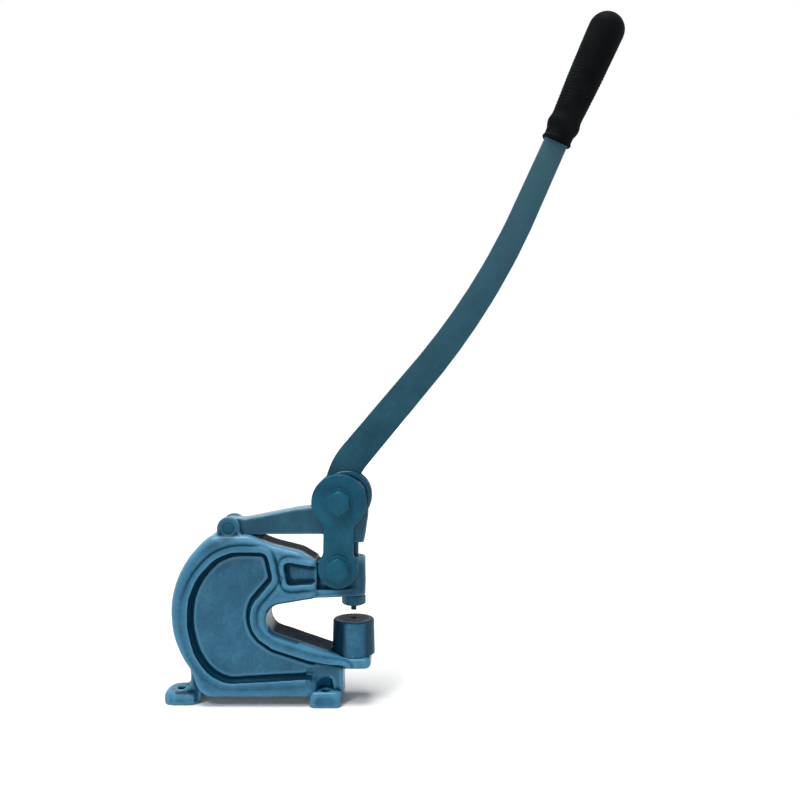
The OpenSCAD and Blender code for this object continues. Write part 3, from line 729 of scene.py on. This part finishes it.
def white_seen_directly(tree, lit, seen):
    """Chooses between two closures: seen for camera, glossy and transmission rays, lit for the rest."""
    path = tree.nodes.new("ShaderNodeLightPath")
    a = tree.nodes.new("ShaderNodeMath")
    a.operation = "MAXIMUM"
    tree.links.new(path.outputs["Is Camera Ray"], a.inputs[0])
    tree.links.new(path.outputs["Is Glossy Ray"], a.inputs[1])
    b = tree.nodes.new("ShaderNodeMath")
    b.operation = "MAXIMUM"
    tree.links.new(a.outputs[0], b.inputs[0])
    tree.links.new(path.outputs["Is Transmission Ray"], b.inputs[1])
    choose = tree.nodes.new("ShaderNodeMixShader")
    tree.links.new(b.outputs[0], choose.inputs["Fac"])
    tree.links.new(lit, choose.inputs[1])
    tree.links.new(seen, choose.inputs[2])
    return choose.outputs[0]


world = bpy.data.worlds.new("studio")
scene.world = world
world.use_nodes = True
tree = world.node_tree
lit = tree.nodes["Background"]
lit.inputs["Color"].default_value = (0.95, 0.97, 1.0, 1)
lit.inputs["Strength"].default_value = 0.16
# What shiny parts mirror is white behind the machine, light above it and dim on the camera's side
seen = tree.nodes.new("ShaderNodeBackground")
seen.inputs["Color"].default_value = (1, 1, 1, 1)
direction = tree.nodes.new("ShaderNodeSeparateXYZ")
tree.links.new(tree.nodes.new("ShaderNodeTexCoord").outputs["Generated"], direction.inputs[0])
shade = tree.nodes.new("ShaderNodeMapRange")
tree.links.new(direction.outputs["Y"], shade.inputs["Value"])
for key, value in (("From Min", -0.6), ("From Max", 0.3), ("To Min", 0.15), ("To Max", 1.0)):
    shade.inputs[key].default_value = value
plain = tree.nodes.new("ShaderNodeMath")
plain.operation = "MAXIMUM"
tree.links.new(tree.nodes.new("ShaderNodeLightPath").outputs["Is Camera Ray"], plain.inputs[0])
tree.links.new(shade.outputs["Result"], plain.inputs[1])
tree.links.new(plain.outputs[0], seen.inputs["Strength"])
tree.links.new(white_seen_directly(tree, lit.outputs[0], seen.outputs[0]),
               tree.nodes["World Output"].inputs["Surface"])

floor_mesh = bpy.data.meshes.new("floor")
floor_mesh.from_pydata([(-14, -14, 0), (14, -14, 0), (14, 14, 0), (-14, 14, 0)], [], [(0, 1, 2, 3)])
floor = new_piece("floor", floor_mesh)
floor.location.z = -0.0002
mat = bpy.data.materials.new("pale_floor")
mat.use_nodes = True
tree = mat.node_tree
tree.nodes.remove(tree.nodes["Principled BSDF"])
matt = tree.nodes.new("ShaderNodeBsdfDiffuse")
matt.inputs["Color"].default_value = (0.80, 0.80, 0.79, 1)
# The camera sees a paler floor than the one that lights the machine, so only close shadows show
paler = tree.nodes.new("ShaderNodeBsdfDiffuse")
paler.inputs["Color"].default_value = (0.99, 0.99, 0.98, 1)
glow = tree.nodes.new("ShaderNodeEmission")
glow.inputs["Strength"].default_value = 0.04
both = tree.nodes.new("ShaderNodeAddShader")
tree.links.new(paler.outputs[0], both.inputs[0])
tree.links.new(glow.outputs[0], both.inputs[1])
tree.links.new(white_seen_directly(tree, matt.outputs[0], both.outputs[0]),
               tree.nodes["Material Output"].inputs["Surface"])
floor_mesh.materials.append(mat)
